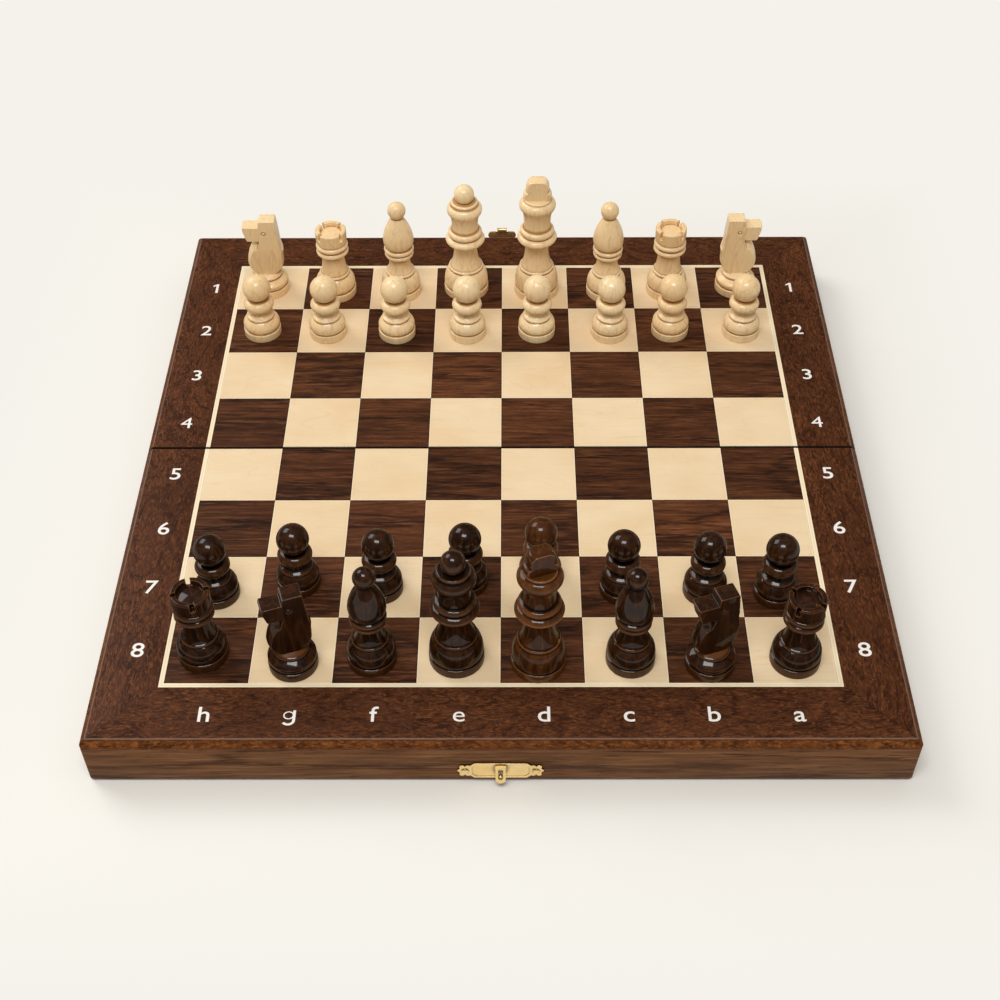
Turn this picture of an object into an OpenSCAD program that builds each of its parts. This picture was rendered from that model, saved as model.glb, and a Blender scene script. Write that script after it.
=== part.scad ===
// Folding chess box: two equal trays hinged at a seam across the middle of the board, with a
// full set of turned men. Open, the trays lie rims down and their backs form the board. The
// far tray folds under the near one, the rims meet, and a brass hasp closes over a catch.
// +X is right, +Y is away from the player of the dark men, +Z is up. The origin is on the
// table, under the middle of the seam. Millimetres.

/* [Board] */
// Side of one playing square
square_side = 36; // [32:0.5:45]
// Width of the light line around the playing squares
line_w = 2.2; // [1.5:0.1:4]
// Width of the dark border, from the line to the outer face
border_w = 28.8; // [24:0.2:40]
// Thickness of the inlaid veneers
veneer_t = 0.6; // [0.4:0.1:1]
// Glue line between neighbouring veneers
glue_line = 0.1; // [0.05:0.01:0.2]

/* [Trays] */
// Depth of one tray, from its rim to the playing surface
tray_h = 26; // [23:0.5:36]
// Thickness of the tray walls
wall_t = 9; // [8.6:0.2:12]
// Thickness of the top panel, veneer included
panel_t = 4.5; // [3.5:0.1:6]
// Width and height of the chamfer along the outer top edges
edge_chamfer = 2.5; // [1:0.1:3]
// Chamfer along the two top edges at the seam
seam_chamfer = 0.5; // [0.3:0.1:0.8]
// Rounding of the upright outer corners
corner_r = 1.5; // [0.5:0.1:3]
// Gap between the two trays at the seam
seam_gap = 0.6; // [0.3:0.1:1]
// Gap between the two rims when the box is closed
closed_gap = 0.3; // [0.2:0.05:0.6]
// Thickness of the felt lining
lining_t = 1; // [0.5:0.1:2]

/* [Hinges] */
// Distance of each hinge's middle from the middle of the box
hinge_x = 105; // [70:1:115]
// Length of a hinge
hinge_len = 30; // [25:1:45]
// Radius of the hinge knuckles
knuckle_r = 1.25; // [1.2:0.05:1.6]
// Radius of the hinge pins
pin_r = 0.6; // [0.4:0.05:0.7]
// Thickness of the hinge leaves
leaf_t = 1; // [0.8:0.05:1.2]
// Width of a hinge leaf on its rim
leaf_w = 8; // [7.6:0.1:8.2]
// Knuckles of one hinge, shared out between its two leaves
knuckle_count = 5; // [3:2:7]

/* [Latch] */
// Length of the flat middle of a latch plate
plate_len = 26; // [24:0.5:27]
// Height of a latch plate
plate_h = 10.5; // [9.5:0.1:11.5]
// Thickness of a latch plate
plate_t = 0.8; // [0.6:0.05:1]
// Distance of each plate nail from the middle
nail_x = 15; // [14.5:0.1:16]
// Height of the catch plate's lower edge above the rim
catch_plate_up = 2; // [1:0.1:2.5]
// How far the catch and the hasp's knuckle stand out from the wall
latch_reach = 4.2; // [4:0.1:4.6]
// Width of the looped catch
catch_w = 4.3; // [3.6:0.1:4.8]
// Height of the catch's lower end above the rim
catch_up = 2.7; // [2.5:0.1:3]
// Lean of the catch away from the wall, in degrees
catch_lean = 17; // [15:1:19]
// Height of the hasp's pivot above the rim of the far tray
pivot_up = 5; // [4.8:0.1:5.4]
// Radius of the hasp's knuckle
hasp_knuckle_r = 1.4; // [1.2:0.05:1.5]
// Thickness of the hasp
hasp_t = 1; // [0.8:0.05:1.2]
// Length of the hasp, from its pivot to the end of its finger
hasp_len = 24.4; // [23.8:0.1:26]
// Width of the hasp beside its slot
hasp_w = 9; // [8.6:0.1:12]

/* [Fasteners] */
// Radius of the shanks of screws and nails
shank_r = 0.9; // [0.7:0.05:1]
// Radius of the flat screws' heads
screw_head_r = 1.8; // [1.6:0.05:2]
// Length of a hinge screw
screw_len = 8; // [6:0.5:12]
// Radius of the latch nails' round heads
nail_head_r = 1.4; // [1.2:0.05:1.5]
// Length of a latch nail below its head
nail_len = 7; // [5:0.5:7.5]
// Radial clearance around pins, shanks and heads
fit = 0.05; // [0.03:0.01:0.08]

/* [Men] */
// Base diameter of a pawn
pawn_d = 19.5; // [18.5:0.1:22]
// Height of a pawn
pawn_h = 36.5; // [35.5:0.1:42]
// Base diameter of a rook
rook_d = 21.8; // [20:0.1:24]
// Height of a rook
rook_h = 41.6; // [40.5:0.1:48]
// Base diameter of a knight
knight_d = 21.4; // [20.4:0.1:24]
// Height of a knight
knight_h = 46.5; // [45.5:0.1:50]
// Thickness of a knight between its sawn flats
knight_t = 7.6; // [6:0.1:9]
// Base diameter of a bishop
bishop_d = 21.4; // [20:0.1:24]
// Height of a bishop
bishop_h = 58; // [57:0.1:62]
// Base diameter of a queen
queen_d = 24; // [22.4:0.1:26]
// Height of a queen
queen_h = 67; // [66:0.1:72]
// Base diameter of a king
king_d = 23.8; // [22.4:0.1:26]
// Height of a king
king_h = 72; // [71:0.1:77]
// Thickness of the king's finial between its sawn flats
finial_t = 7; // [5:0.1:9]

/* [Hidden] */
$fn = 48;
files = 8;                                             // squares along one side
grid = files / 2 * square_side;                        // half the playing field
inner = grid + line_w;                                 // half the field with its line
half_w = inner + border_w;                             // from the middle to an outer face
axis_z = knuckle_r;                                    // the knuckles stand on the table
rim_z = axis_z + closed_gap / 2;                       // underside of the rims
top_z = rim_z + tray_h;                                // playing surface
core_top = top_z - veneer_t;
panel_z = top_z - panel_t;                             // underside of the panel
seam_y = seam_gap / 2;                                 // from the hinge axis to a hinge wall
half_glue = glue_line / 2;
cut = 1;                                               // overrun of every cut
lining_room = 0.3;                                     // from the lining to the walls

knuckle_gap = 0.2;                                     // between neighbouring knuckles
knuckle_step = hinge_len / knuckle_count;
knuckle_room = 0.25;                                   // around the knuckles
flat_y = knuckle_r + knuckle_room;                     // where a leaf's flat part starts
leaf_end = seam_y + leaf_w;
leaf_gap = 0.1;                                        // around a leaf in its recess
leaf_screw_x = hinge_len * 0.3;
leaf_screw_y = (flat_y + leaf_end) / 2;
pin_head_r = pin_r + 0.4;
pin_head_t = 0.4;
hinge_room = hinge_len + 2 * (pin_head_t + leaf_gap);  // notch for knuckles and pin heads
screw_slot_w = 0.5;
screw_slot_t = 0.35;
nail_head_t = 0.8;

plate_corner = 1.9;                                    // slanted corners of a latch plate
plate_ring_r = 2.7;                                    // ring around a nail
petal_r = 1.15;
petal_out = 2.9;
petal_angles = [65, 115, 245, 295];
tip_r = 0.9;
tip_x = nail_x + 2.3;
plate_edge = 0.9;                                      // raised edge of a latch plate
plate_sunk = 0.2;
catch_plate_z = rim_z + catch_plate_up + plate_h / 2;
catch_t = 1;
catch_len = 9.2;
catch_slot_w = catch_w / 2;
catch_slot_v0 = 2;
catch_slot_v1 = 7.6;
catch_dome_r = 2.6;
catch_dome_up = catch_up + 6.2;
catch_dome_out = 1;                                    // the dome above its plate
catch_edge_gap = 0.1;                                  // below the plate's raised edge
catch_ball_r = 0.95;
catch_ball_v = 3.5;
pivot_z = rim_z + pivot_up;
pivot_out = latch_reach - hasp_knuckle_r;              // from the wall to the hasp's pin
hasp_plate_z = pivot_z + plate_h / 2 + 0.3;
hasp_knuckle_len = 8;
ear_len = 3;
hasp_neck_w = hasp_knuckle_len - 0.8;
hasp_neck_v = 3.4;
hasp_slot_w = catch_w + 1;
hasp_slot_v0 = 7;                                      // slot, measured from the pivot
hasp_slot_v1 = 15.2;
lobe_r = 2;
lobe_v = 19;
lobe_in = 3.9;
lobe_out = 6;
finger_w = 5.4;
finger_roll_r = 1.2;
finger_waist_r = 0.95;
finger_back = 1;                                       // the rolled tip lies off the plate

board_men = [                          // kind, file from the left, rank, nudge and turn
    ["light_knight_h", "knight", 0, 1, [-2, 0.5], 0],
    ["light_rook_g", "rook", 1, 1, [-1, -2.5], 0],
    ["light_bishop_f", "bishop", 2, 1, [-1.2, -2.3], 0],
    ["light_queen", "queen", 3, 1, [-1.5, 0], 0],
    ["light_king", "king", 4, 1, [0.9, -1.5], 0],
    ["light_bishop_c", "bishop", 5, 1, [3, -3], 0],
    ["light_rook_b", "rook", 6, 1, [0.3, -1.5], 0],
    ["light_knight_a", "knight", 7, 1, [2, 0.5], 180],
    ["light_pawn_h", "pawn", 0, 2, [-1.7, -0.8], 0],
    ["light_pawn_g", "pawn", 1, 2, [-2.7, -1.8], 0],
    ["light_pawn_f", "pawn", 2, 2, [-1.8, -2.3], 0],
    ["light_pawn_e", "pawn", 3, 2, [-0.2, -2.3], 0],
    ["light_pawn_d", "pawn", 4, 2, [0.6, -1.8], 0],
    ["light_pawn_c", "pawn", 5, 2, [3.3, -2.3], 0],
    ["light_pawn_b", "pawn", 6, 2, [-0.4, -1.3], 0],
    ["light_pawn_a", "pawn", 7, 2, [1.3, -1.8], 0],
    ["dark_pawn_h", "pawn", 0, 7, [-1.2, -4], 0],
    ["dark_pawn_g", "pawn", 1, 7, [-1.4, 2.4], 0],
    ["dark_pawn_f", "pawn", 2, 7, [0.2, -1], 0],
    ["dark_pawn_e", "pawn", 3, 7, [2.3, 2.4], 0],
    ["dark_pawn_d", "pawn", 4, 7, [-0.2, 6], 0],
    ["dark_pawn_c", "pawn", 5, 7, [0, -1.6], 0],
    ["dark_pawn_b", "pawn", 6, 7, [1.5, -2.6], 0],
    ["dark_pawn_a", "pawn", 7, 7, [-3, -4], 0],
    ["dark_rook_h", "rook", 0, 8, [-3, -2], -30],
    ["dark_knight_g", "knight", 1, 8, [0.6, -7.2], 18],
    ["dark_bishop_f", "bishop", 2, 8, [-1.6, -4.6], 0],
    ["dark_queen", "queen", 3, 8, [-1, -3.9], 0],
    ["dark_king", "king", 4, 8, [-1.7, -6.5], 20],
    ["dark_bishop_c", "bishop", 5, 8, [2, -5.3], 0],
    ["dark_knight_b", "knight", 6, 8, [0, -7.6], 19],
    ["dark_rook_a", "rook", 7, 8, [1, -5.5], 9],
];
box_nodes = [
    "near_panel", "near_front_wall", "near_side_walls", "near_hinge_wall", "near_lining",
    "near_light_squares", "near_dark_squares", "near_line", "near_border",
    "near_hinge_leaves", "near_screws", "hinge_pins", "catch_plate", "catch_loop",
    "far_panel", "far_back_wall", "far_side_walls", "far_hinge_wall", "far_lining",
    "far_light_squares", "far_dark_squares", "far_line", "far_border",
    "far_hinge_leaves", "far_screws", "hasp_plate", "hasp_pin", "hasp",
];

edge_wood = "#7a4c28";
wall_wood = "#5a3d28";
border_wood = "#4a2a1c";
dark_wood = "#44281b";
light_wood = "#ecd3a4";
felt_green = "#2f5a3c";
brass = "#d8b04e";
boxwood = "#e8cf9f";
stained_wood = "#3a2014";

// ---- helpers ----

function arc(c, r, a0, a1, n = 6) =
    [for (i = [0 : n]) let (a = a0 + (a1 - a0) * i / n) c + r * [cos(a), sin(a)]];
function bend(a, b, c, n = 6) =
    [for (i = [0 : n]) let (t = i / n) (1 - t) * (1 - t) * a + 2 * t * (1 - t) * b + t * t * c];

// The near half as drawn, or its mirror image beyond the seam
module half(far) { mirror([0, far ? 1 : 0, 0]) children(); }

// Both the given side and its mirror image across the middle
module both_sides() { for (side = [0, 1]) mirror([side, 0, 0]) children(); }

// A section drawn in Y and Z, drawn out along the whole width of the box
module across() {
    translate([-half_w - cut, 0, 0]) rotate([90, 0, 90])
        linear_extrude(2 * (half_w + cut)) children();
}

// Plan of one tray, with rounded corners away from the seam
module plan() {
    polygon(concat(
        [[half_w, -seam_y], [-half_w, -seam_y]],
        arc([corner_r - half_w, corner_r - half_w], corner_r, 180, 270),
        arc([half_w - corner_r, corner_r - half_w], corner_r, 270, 360)));
}

// Section of what the chamfer takes off an outer top edge
module edge_section() {
    polygon([[half_w - edge_chamfer, top_z], [half_w, top_z - edge_chamfer],
             [half_w + cut, top_z - edge_chamfer], [half_w + cut, top_z + cut],
             [half_w - edge_chamfer, top_z + cut]]);
}

module edge_cut() {
    mirror([0, 1, 0]) across() edge_section();
    both_sides() translate([0, cut, 0]) rotate([90, 0, 0])
        linear_extrude(half_w + 2 * cut) edge_section();
}

// Takes everything back from the seam, with its chamfer
module seam_cut() {
    across() polygon([[-seam_y, 0], [cut, 0], [cut, top_z + cut],
                      [-seam_y - seam_chamfer, top_z + cut], [-seam_y - seam_chamfer, top_z],
                      [-seam_y, top_z - seam_chamfer]]);
}

// ---- trays ----

module panel() {
    color(edge_wood) difference() {
        translate([0, 0, panel_z]) linear_extrude(panel_t - veneer_t) plan();
        edge_cut();
        seam_cut();
    }
}

module upright() { translate([0, 0, rim_z]) linear_extrude(panel_z - rim_z) children(); }

// The wall that carries a latch plate, mitred at both ends
module latch_wall(plate_z) {
    inside = half_w - wall_t;
    color(wall_wood) difference() {
        upright() intersection() {
            plan();
            polygon([[-half_w - cut, -half_w - cut], [half_w + cut, -half_w - cut],
                     [inside, -inside], [-inside, -inside]]);
        }
        both_sides() translate([nail_x, cut - half_w, plate_z]) rotate([-90, 0, 0])
            translate([0, 0, -2 * cut]) cylinder(r = shank_r + fit, h = nail_len + 2 * cut);
    }
}

module side_walls() {
    inside = half_w - wall_t;
    color(wall_wood) both_sides() upright() intersection() {
        plan();
        polygon([[half_w + cut, -half_w - cut], [half_w + cut, 0], [inside, 0],
                 [inside, -inside]]);
    }
}

module hinge_wall() {
    inside = half_w - wall_t;
    color(wall_wood) difference() {
        translate([-inside, -seam_y - wall_t, rim_z])
            cube([2 * inside, wall_t, panel_z - rim_z]);
        both_sides() translate([hinge_x, 0, 0]) {
            leaf_recess();
            leaf_screws() translate([0, 0, -cut])
                cylinder(r = shank_r + fit, h = screw_len + cut + fit);
        }
    }
}

// Room in the hinge wall for one leaf, the knuckles and the pin's heads
module leaf_recess() {
    translate([-hinge_len / 2 - leaf_gap, -leaf_end - leaf_gap, rim_z - cut])
        cube([hinge_len + 2 * leaf_gap, leaf_end + leaf_gap, leaf_t + cut]);
    translate([-hinge_room / 2, 0, axis_z]) rotate([0, 90, 0])
        cylinder(r = knuckle_r + knuckle_room, h = hinge_room);
}

// Puts its children at the screws of one leaf, on the rim
module leaf_screws() {
    for (x = [-leaf_screw_x, leaf_screw_x])
        translate([x, -leaf_screw_y, rim_z]) children();
}

module lining() {
    inside = half_w - wall_t - lining_room;
    color(felt_green) translate([-inside, -inside, panel_z - lining_t])
        cube([2 * inside, inside - seam_y - wall_t - lining_room, lining_t]);
}

// ---- playing surface ----

// The squares of one colour; files count from the left, ranks from the far edge
module squares(far, dark) {
    s = square_side - glue_line;
    ranks = far ? [0 : files / 2 - 1] : [files / 2 : files - 1];
    color(dark ? dark_wood : light_wood) difference() {
        for (x = [0 : files - 1], y = ranks)
            if (((x + y) % 2 == 1) == dark)
                translate([x * square_side - grid + half_glue,
                           grid - (y + 1) * square_side + half_glue, core_top])
                    cube([s, s, veneer_t]);
        half(far) seam_cut();
    }
}

module line() {
    w = line_w - glue_line;
    color(light_wood) difference() {
        translate([0, 0, core_top]) linear_extrude(veneer_t) {
            translate([half_glue - inner, half_glue - inner])
                square([2 * inner - glue_line, w]);
            both_sides() translate([grid + half_glue, half_glue - inner]) square([w, inner]);
        }
        seam_cut();
    }
}

module border() {
    out = half_w + cut;
    g = half_glue;
    color(border_wood) difference() {
        translate([0, 0, core_top]) linear_extrude(veneer_t) intersection() {
            plan();
            union() {
                polygon([[-inner, -inner - g], [inner, -inner - g], [out, -out - g],
                         [-out, -out - g]]);
                both_sides() polygon([[inner + g, 0], [inner + g, -inner],
                                      [out + g, -out], [out + g, 0]]);
            }
        }
        edge_cut();
        seam_cut();
    }
}

// ---- hinges ----

// A leaf with every other knuckle, starting with knuckle number first
module hinge_leaf(first) {
    difference() {
        union() {
            translate([-hinge_len / 2, -leaf_end, rim_z])
                cube([hinge_len, leaf_end - flat_y, leaf_t]);
            for (i = [first : 2 : knuckle_count - 1])
                translate([i * knuckle_step + (knuckle_gap - hinge_len) / 2, 0, 0]) {
                    translate([0, -leaf_end / 2, rim_z])
                        cube([knuckle_step - knuckle_gap, leaf_end / 2, leaf_t]);
                    translate([0, 0, axis_z]) rotate([0, 90, 0])
                        cylinder(r = knuckle_r, h = knuckle_step - knuckle_gap);
                }
        }
        translate([-hinge_len / 2 - cut, 0, axis_z]) rotate([0, 90, 0])
            cylinder(r = pin_r + fit, h = hinge_len + 2 * cut);
        leaf_screws() cylinder(r1 = screw_head_r + fit, r2 = shank_r + fit, h = leaf_t);
        leaf_screws() cylinder(r = shank_r + fit, h = leaf_t + cut);
    }
}

module hinge_leaves(first) {
    color(brass) both_sides() translate([hinge_x, 0, 0]) hinge_leaf(first);
}

// A plain pin along X with a head at each end
module headed_pin(len) {
    rotate([0, 90, 0]) {
        cylinder(r = pin_r, h = len, center = true);
        for (end = [-1, 1]) translate([0, 0, end * (len + pin_head_t) / 2])
            cylinder(r = pin_head_r, h = pin_head_t, center = true);
    }
}

module hinge_pins() {
    color(brass) both_sides() translate([hinge_x, 0, axis_z]) headed_pin(hinge_len);
}

module flat_screw() {
    difference() {
        union() {
            cylinder(r1 = screw_head_r, r2 = shank_r, h = leaf_t);
            cylinder(r = shank_r, h = screw_len);
        }
        translate([-screw_head_r - cut, -screw_slot_w / 2, -cut])
            cube([2 * (screw_head_r + cut), screw_slot_w, screw_slot_t + cut]);
    }
}

// A round-headed nail that points along +Z, with the underside of its head at the origin
module nail() {
    cylinder(r = shank_r, h = nail_len);
    rotate([180, 0, 0]) rotate_extrude()
        polygon(concat([[0, 0], [nail_head_r, 0]],
                       bend([nail_head_r, 0.1], [nail_head_r * 0.9, nail_head_t],
                            [0, nail_head_t])));
}

module fasteners(plate_z) {
    color(brass) both_sides() {
        translate([hinge_x, 0, 0]) leaf_screws() flat_screw();
        translate([nail_x, -half_w - plate_t, plate_z]) rotate([-90, 0, 0]) nail();
    }
}

// ---- latch ----

// Outline of a latch plate: a flat middle with slanted corners and a petalled ring at each end
module plate_outline() {
    x = plate_len / 2;
    y = plate_h / 2;
    c = plate_corner;
    polygon([[x, y - c], [x - c, y], [c - x, y], [-x, y - c],
             [-x, c - y], [c - x, -y], [x - c, -y], [x, c - y]]);
    for (side = [-1, 1]) {
        translate([side * nail_x, 0]) {
            circle(plate_ring_r);
            for (a = petal_angles) rotate(a) translate([petal_out, 0]) circle(petal_r);
        }
        translate([side * tip_x, 0]) circle(tip_r);
    }
}

// On the latch wall, with its middle at height z
module latch_plate(z) {
    x = plate_len / 2 - plate_edge;
    y = plate_h / 2 - plate_edge;
    c = plate_corner;
    translate([0, -half_w, z]) rotate([90, 0, 0]) difference() {
        linear_extrude(plate_t) plate_outline();
        translate([0, 0, plate_t - plate_sunk]) linear_extrude(plate_sunk + cut)
            polygon([[x, y - c], [x - c, y], [c - x, y], [-x, y - c],
                     [-x, c - y], [c - x, -y], [x - c, -y], [x, c - y]]);
        both_sides() translate([nail_x, 0, -cut])
            cylinder(r = shank_r + fit, h = plate_t + 2 * cut);
    }
}

module catch_plate() { color(brass) latch_plate(catch_plate_z); }

// The looped catch leans out of its plate: a strip with a slot, a ball in it and a domed root
module catch_loop() {
    dome_ball_r = (pow(catch_dome_r, 2) + pow(catch_dome_out, 2)) / (2 * catch_dome_out);
    color(brass) intersection() {
        union() {
            translate([0, -half_w - latch_reach, rim_z + catch_up])
                rotate([90 - catch_lean, 0, 0]) {
                    translate([0, 0, -catch_t]) linear_extrude(catch_t) difference() {
                        rounded_bar(catch_w, 0, catch_len + catch_w / 2);
                        rounded_bar(catch_slot_w, catch_slot_v0, catch_slot_v1);
                    }
                    translate([0, catch_ball_v, -catch_t / 2]) sphere(catch_ball_r);
                }
            translate([0, dome_ball_r - half_w - plate_t - catch_dome_out,
                       rim_z + catch_dome_up]) sphere(dome_ball_r);
        }
        translate([-catch_dome_r, -half_w - 2 * latch_reach, rim_z])
            cube([2 * catch_dome_r, 2 * latch_reach - plate_t + plate_sunk,
                  catch_plate_up + plate_h - plate_edge - catch_edge_gap]);
    }
}

// A bar of width w along Y from v0 to v1, with round ends
module rounded_bar(w, v0, v1) {
    for (v = [v0 + w / 2, v1 - w / 2]) translate([0, v]) circle(w / 2);
    translate([-w / 2, v0 + w / 2]) square([w, v1 - v0 - w]);
}

module hasp_plate() {
    ear_x = hasp_knuckle_len / 2 + knuckle_gap;
    color(brass) half(true) difference() {
        union() {
            latch_plate(hasp_plate_z);
            both_sides() {
                translate([ear_x, -half_w - pivot_out, pivot_z])
                    cube([ear_len, pivot_out, hasp_knuckle_r]);
                translate([ear_x, -half_w - pivot_out, pivot_z]) rotate([0, 90, 0])
                    cylinder(r = hasp_knuckle_r, h = ear_len);
            }
        }
        hasp_bore();
    }
}

module hasp_bore() {
    len = hasp_knuckle_len + 2 * (knuckle_gap + ear_len + cut);
    translate([0, -half_w - pivot_out, pivot_z]) rotate([0, 90, 0])
        cylinder(r = pin_r + fit, h = len, center = true);
}

module hasp_pin() {
    color(brass) half(true) translate([0, -half_w - pivot_out, pivot_z])
        headed_pin(hasp_knuckle_len + 2 * (knuckle_gap + ear_len) + 0.1);
}

module hasp_outline() {
    translate([-hasp_neck_w / 2, 0]) square([hasp_neck_w, hasp_neck_v + cut]);
    difference() {
        translate([-hasp_w / 2, hasp_neck_v])
            square([hasp_w, lobe_v - hasp_neck_v]);
        rounded_bar(hasp_slot_w, hasp_slot_v0, hasp_slot_v1);
    }
    both_sides() {
        for (x = [lobe_in, lobe_out]) translate([x, lobe_v]) circle(lobe_r);
        translate([lobe_in, lobe_v - lobe_r]) square([lobe_out - lobe_in, 2 * lobe_r]);
    }
    translate([-finger_w / 2, lobe_v - lobe_r])
        square([finger_w, hasp_len - finger_roll_r - lobe_v + lobe_r]);
}

// Thrown back against the far wall, its finger above the playing surface
module hasp() {
    color(brass) half(true) difference() {
        union() {
            translate([0, -half_w - pivot_out, pivot_z]) {
                translate([0, hasp_t / 2, 0]) rotate([90, 0, 0])
                    linear_extrude(hasp_t) hasp_outline();
                rotate([0, 90, 0])
                    cylinder(r = hasp_knuckle_r, h = hasp_knuckle_len, center = true);
                translate([0, finger_back, hasp_len - finger_roll_r]) rolled_tip();
            }
        }
        hasp_bore();
    }
}

// The finger's rolled tip, narrower in its middle
module rolled_tip() {
    rotate([0, 90, 0]) rotate_extrude()
        polygon(concat([[0, -finger_w / 2]],
                       bend([finger_roll_r, -finger_w / 2],
                            [2 * finger_waist_r - finger_roll_r, 0],
                            [finger_roll_r, finger_w / 2], 8),
                       [[0, finger_w / 2]]));
}

// ---- men ----

// Outline of the foot that all men share, up to its lip: a disc, a groove and a swelling
function foot(r, lip_r, lip_z) = concat(
    [[0, 0], [r - 0.5, 0]], arc([r - 0.5, 0.5], 0.5, -90, 0, 3),
    arc([r - 0.5, 4], 0.5, 0, 70, 3), [[r - 1, 4.8]],
    bend([r - 0.8, 5.1], [r - 0.1, 5.5], [r - 0.2, 7.4], 4),
    bend([r - 0.3, 8], [r - 0.7, lip_z - 2.6], [lip_r - 0.5, lip_z - 1], 6),
    arc([lip_r - 0.8, lip_z], 0.8, -65, 65, 5));

// Hollow stem from a lip to a top radius
function stem(lip_r, lip_z, top_r, top_z) =
    bend([lip_r - 0.8, lip_z + 0.9], [top_r + 0.2, lip_z + (top_z - lip_z) * 0.35],
         [top_r, top_z], 8);

// The two rings that a stem carries, the lower one wider
function two_rings(r, z) = concat(
    bend([6.2, z], [r - 1.2, z + 0.3], [r, z + 2.6], 5),
    bend([r, z + 3.2], [r - 0.3, z + 4.6], [r - 2.2, z + 5.2], 5),
    [[r - 2.8, z + 5.5]],
    arc([r - 3.2, z + 7.2], 1.8, -60, 75, 6));

module turned(outline) { rotate_extrude() polygon(outline); }

module pawn() {
    ball_r = 7.25;
    ball_z = pawn_h - ball_r;
    collar_z = ball_z - 9.6;
    lip_r = pawn_d / 2 - 2.4;
    lip_z = 12.2;
    turned(concat(
        foot(pawn_d / 2, lip_r, lip_z),
        bend([lip_r - 0.8, lip_z + 0.9], [4.6, lip_z + 1.8], [4.5, collar_z - 3.6], 5),
        arc([4.9, collar_z], 2.9, -75, 75, 10),
        arc([0, ball_z], ball_r, -62, 90, 16)));
}

module rook() {
    h = rook_h;
    lip_r = rook_d / 2 - 2.8;
    lip_z = 14;
    rim_r = 8.3;
    notch_w = 1.9;
    notch_end = h - 3.2;
    drill_r = 1.15;
    difference() {
        turned(concat(
            foot(rook_d / 2, lip_r, lip_z),
            stem(lip_r, lip_z, 5.9, h - 15.6),
            bend([6.2, h - 15.4], [7.8, h - 15.1], [8.65, h - 13.6], 5),
            [[8.6, h - 12.6], [7.7, h - 11.9], [7.3, h - 11.6]],
            arc([7.2, h - 9.8], 1.35, -60, 60, 6),
            [[7.3, h - 8.2], [7.9, h - 7.6], [8.15, h - 7], [rim_r, h - 0.6],
             [rim_r - 0.5, h], [5.9, h], [5.6, h - 2.2]],
            bend([5.2, h - 2.2], [2.5, h - 1.5], [0, h - 1.5], 4)));
        for (a = [45 : 90 : 315]) rotate(a) {
            translate([5.1, -notch_w / 2, notch_end])
                cube([rim_r, notch_w, h - notch_end + cut]);
            translate([5.1, 0, notch_end]) rotate([0, 90, 0])
                cylinder(r = drill_r, h = rim_r);
        }
    }
}

module knight() {
    h = knight_h;
    r = knight_d / 2 - 1;
    lip_z = 11;
    chest_z = 20.4;
    throat_x = -3.9;                     // axis of the second turning, which rounds the throat
    throat_z = 16;
    chin = h - 12.45;
    flat = knight_t / 2;
    turned(concat(foot(knight_d / 2, knight_d / 2 - 3, lip_z),
                  [[6.6, lip_z + 1.2], [0, lip_z + 1.2]]));
    difference() {
        intersection() {
            turned(concat(arc([0, chest_z], r, -90, 0, 10),
                          [[r, chest_z + 2.6], [r + 0.9, h - 14.5], [r + 0.9, h + cut],
                           [0, h + cut]]));
            translate([-knight_d, -flat, lip_z + 0.6]) cube([2 * knight_d, knight_t, h]);
            rotate([90, 0, 0]) linear_extrude(knight_d, center = true) knight_side();
        }
        difference() {
            rotate([90, 0, 0]) linear_extrude(knight_d - cut, center = true)
                polygon([[-knight_d, throat_z], [throat_x + 0.3, throat_z],
                         [throat_x + 0.3, h - 18.5], [throat_x + 2, h - 13],
                         [throat_x + 2, chin], [-knight_d, chin]]);
            translate([throat_x, 0, 0]) turned(concat(
                [[0, throat_z - cut], [6.2, throat_z - cut]],
                bend([6.1, throat_z + 1.4], [5.6, h - 22], [3.2, h - 17.1], 8),
                bend([2.7, h - 16.1], [1.8, h - 14.5], [2, chin + cut], 4),
                [[0, chin + cut]]));
        }
        for (side = [-1, 1]) translate([1.2, side * flat, h - 7.6]) rotate([90, 0, 0])
            knight_eye();
    }
}

// A ring around a dot, cut into a knight's flats
module knight_eye() {
    depth = 1;
    difference() {
        cylinder(r = 1.35, h = depth, center = true);
        cylinder(r = 0.65, h = depth + 2 * cut, center = true);
    }
}

// Side view of a knight that looks to the left
module knight_side() {
    h = knight_h;
    nose = h - 3.9;
    chin = h - 12.6;
    chin_r = 1.4;
    muzzle_x = -9.7;
    edge_r = 0.6;
    back_x = 8.4;
    polygon(concat(
        [[-12, 10], [-12, chin - 1]],
        arc([muzzle_x + 2.5, chin + chin_r], chin_r, 250, 190, 4),
        arc([muzzle_x - 0.1, nose - edge_r], edge_r, 170, 90, 3),
        [[-1.2, nose]],
        arc([-0.6, h - edge_r], edge_r, 180, 90, 3),
        arc([back_x - 1.4, h - edge_r], edge_r, 90, 0, 3),
        bend([back_x, h - 10], [back_x, h - 15], [back_x + 1, h - 19], 5),
        [[12, h - 22], [12, 10]]));
}

module bishop() {
    h = bishop_h;
    ball_r = 4.8;
    lip_r = bishop_d / 2 - 2.8;
    lip_z = 14.6;
    turned(concat(
        foot(bishop_d / 2, lip_r, lip_z),
        stem(lip_r, lip_z, 5.4, h - 34.2),
        bend([5.7, h - 33.9], [7.1, h - 33.7], [7.75, h - 32], 5),
        [[7.7, h - 31.2], [7, h - 30.6], [6.6, h - 30.3]],
        arc([6.7, h - 28.8], 1.3, -60, 65, 6),
        bend([6.3, h - 27], [8.1, h - 26.6], [8.2, h - 22.6], 6),
        bend([8.2, h - 21.6], [7.4, h - 15.8], [3.4, h - 9.2], 8),
        arc([0, h - ball_r], ball_r, -52, 90, 14)));
}

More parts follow.
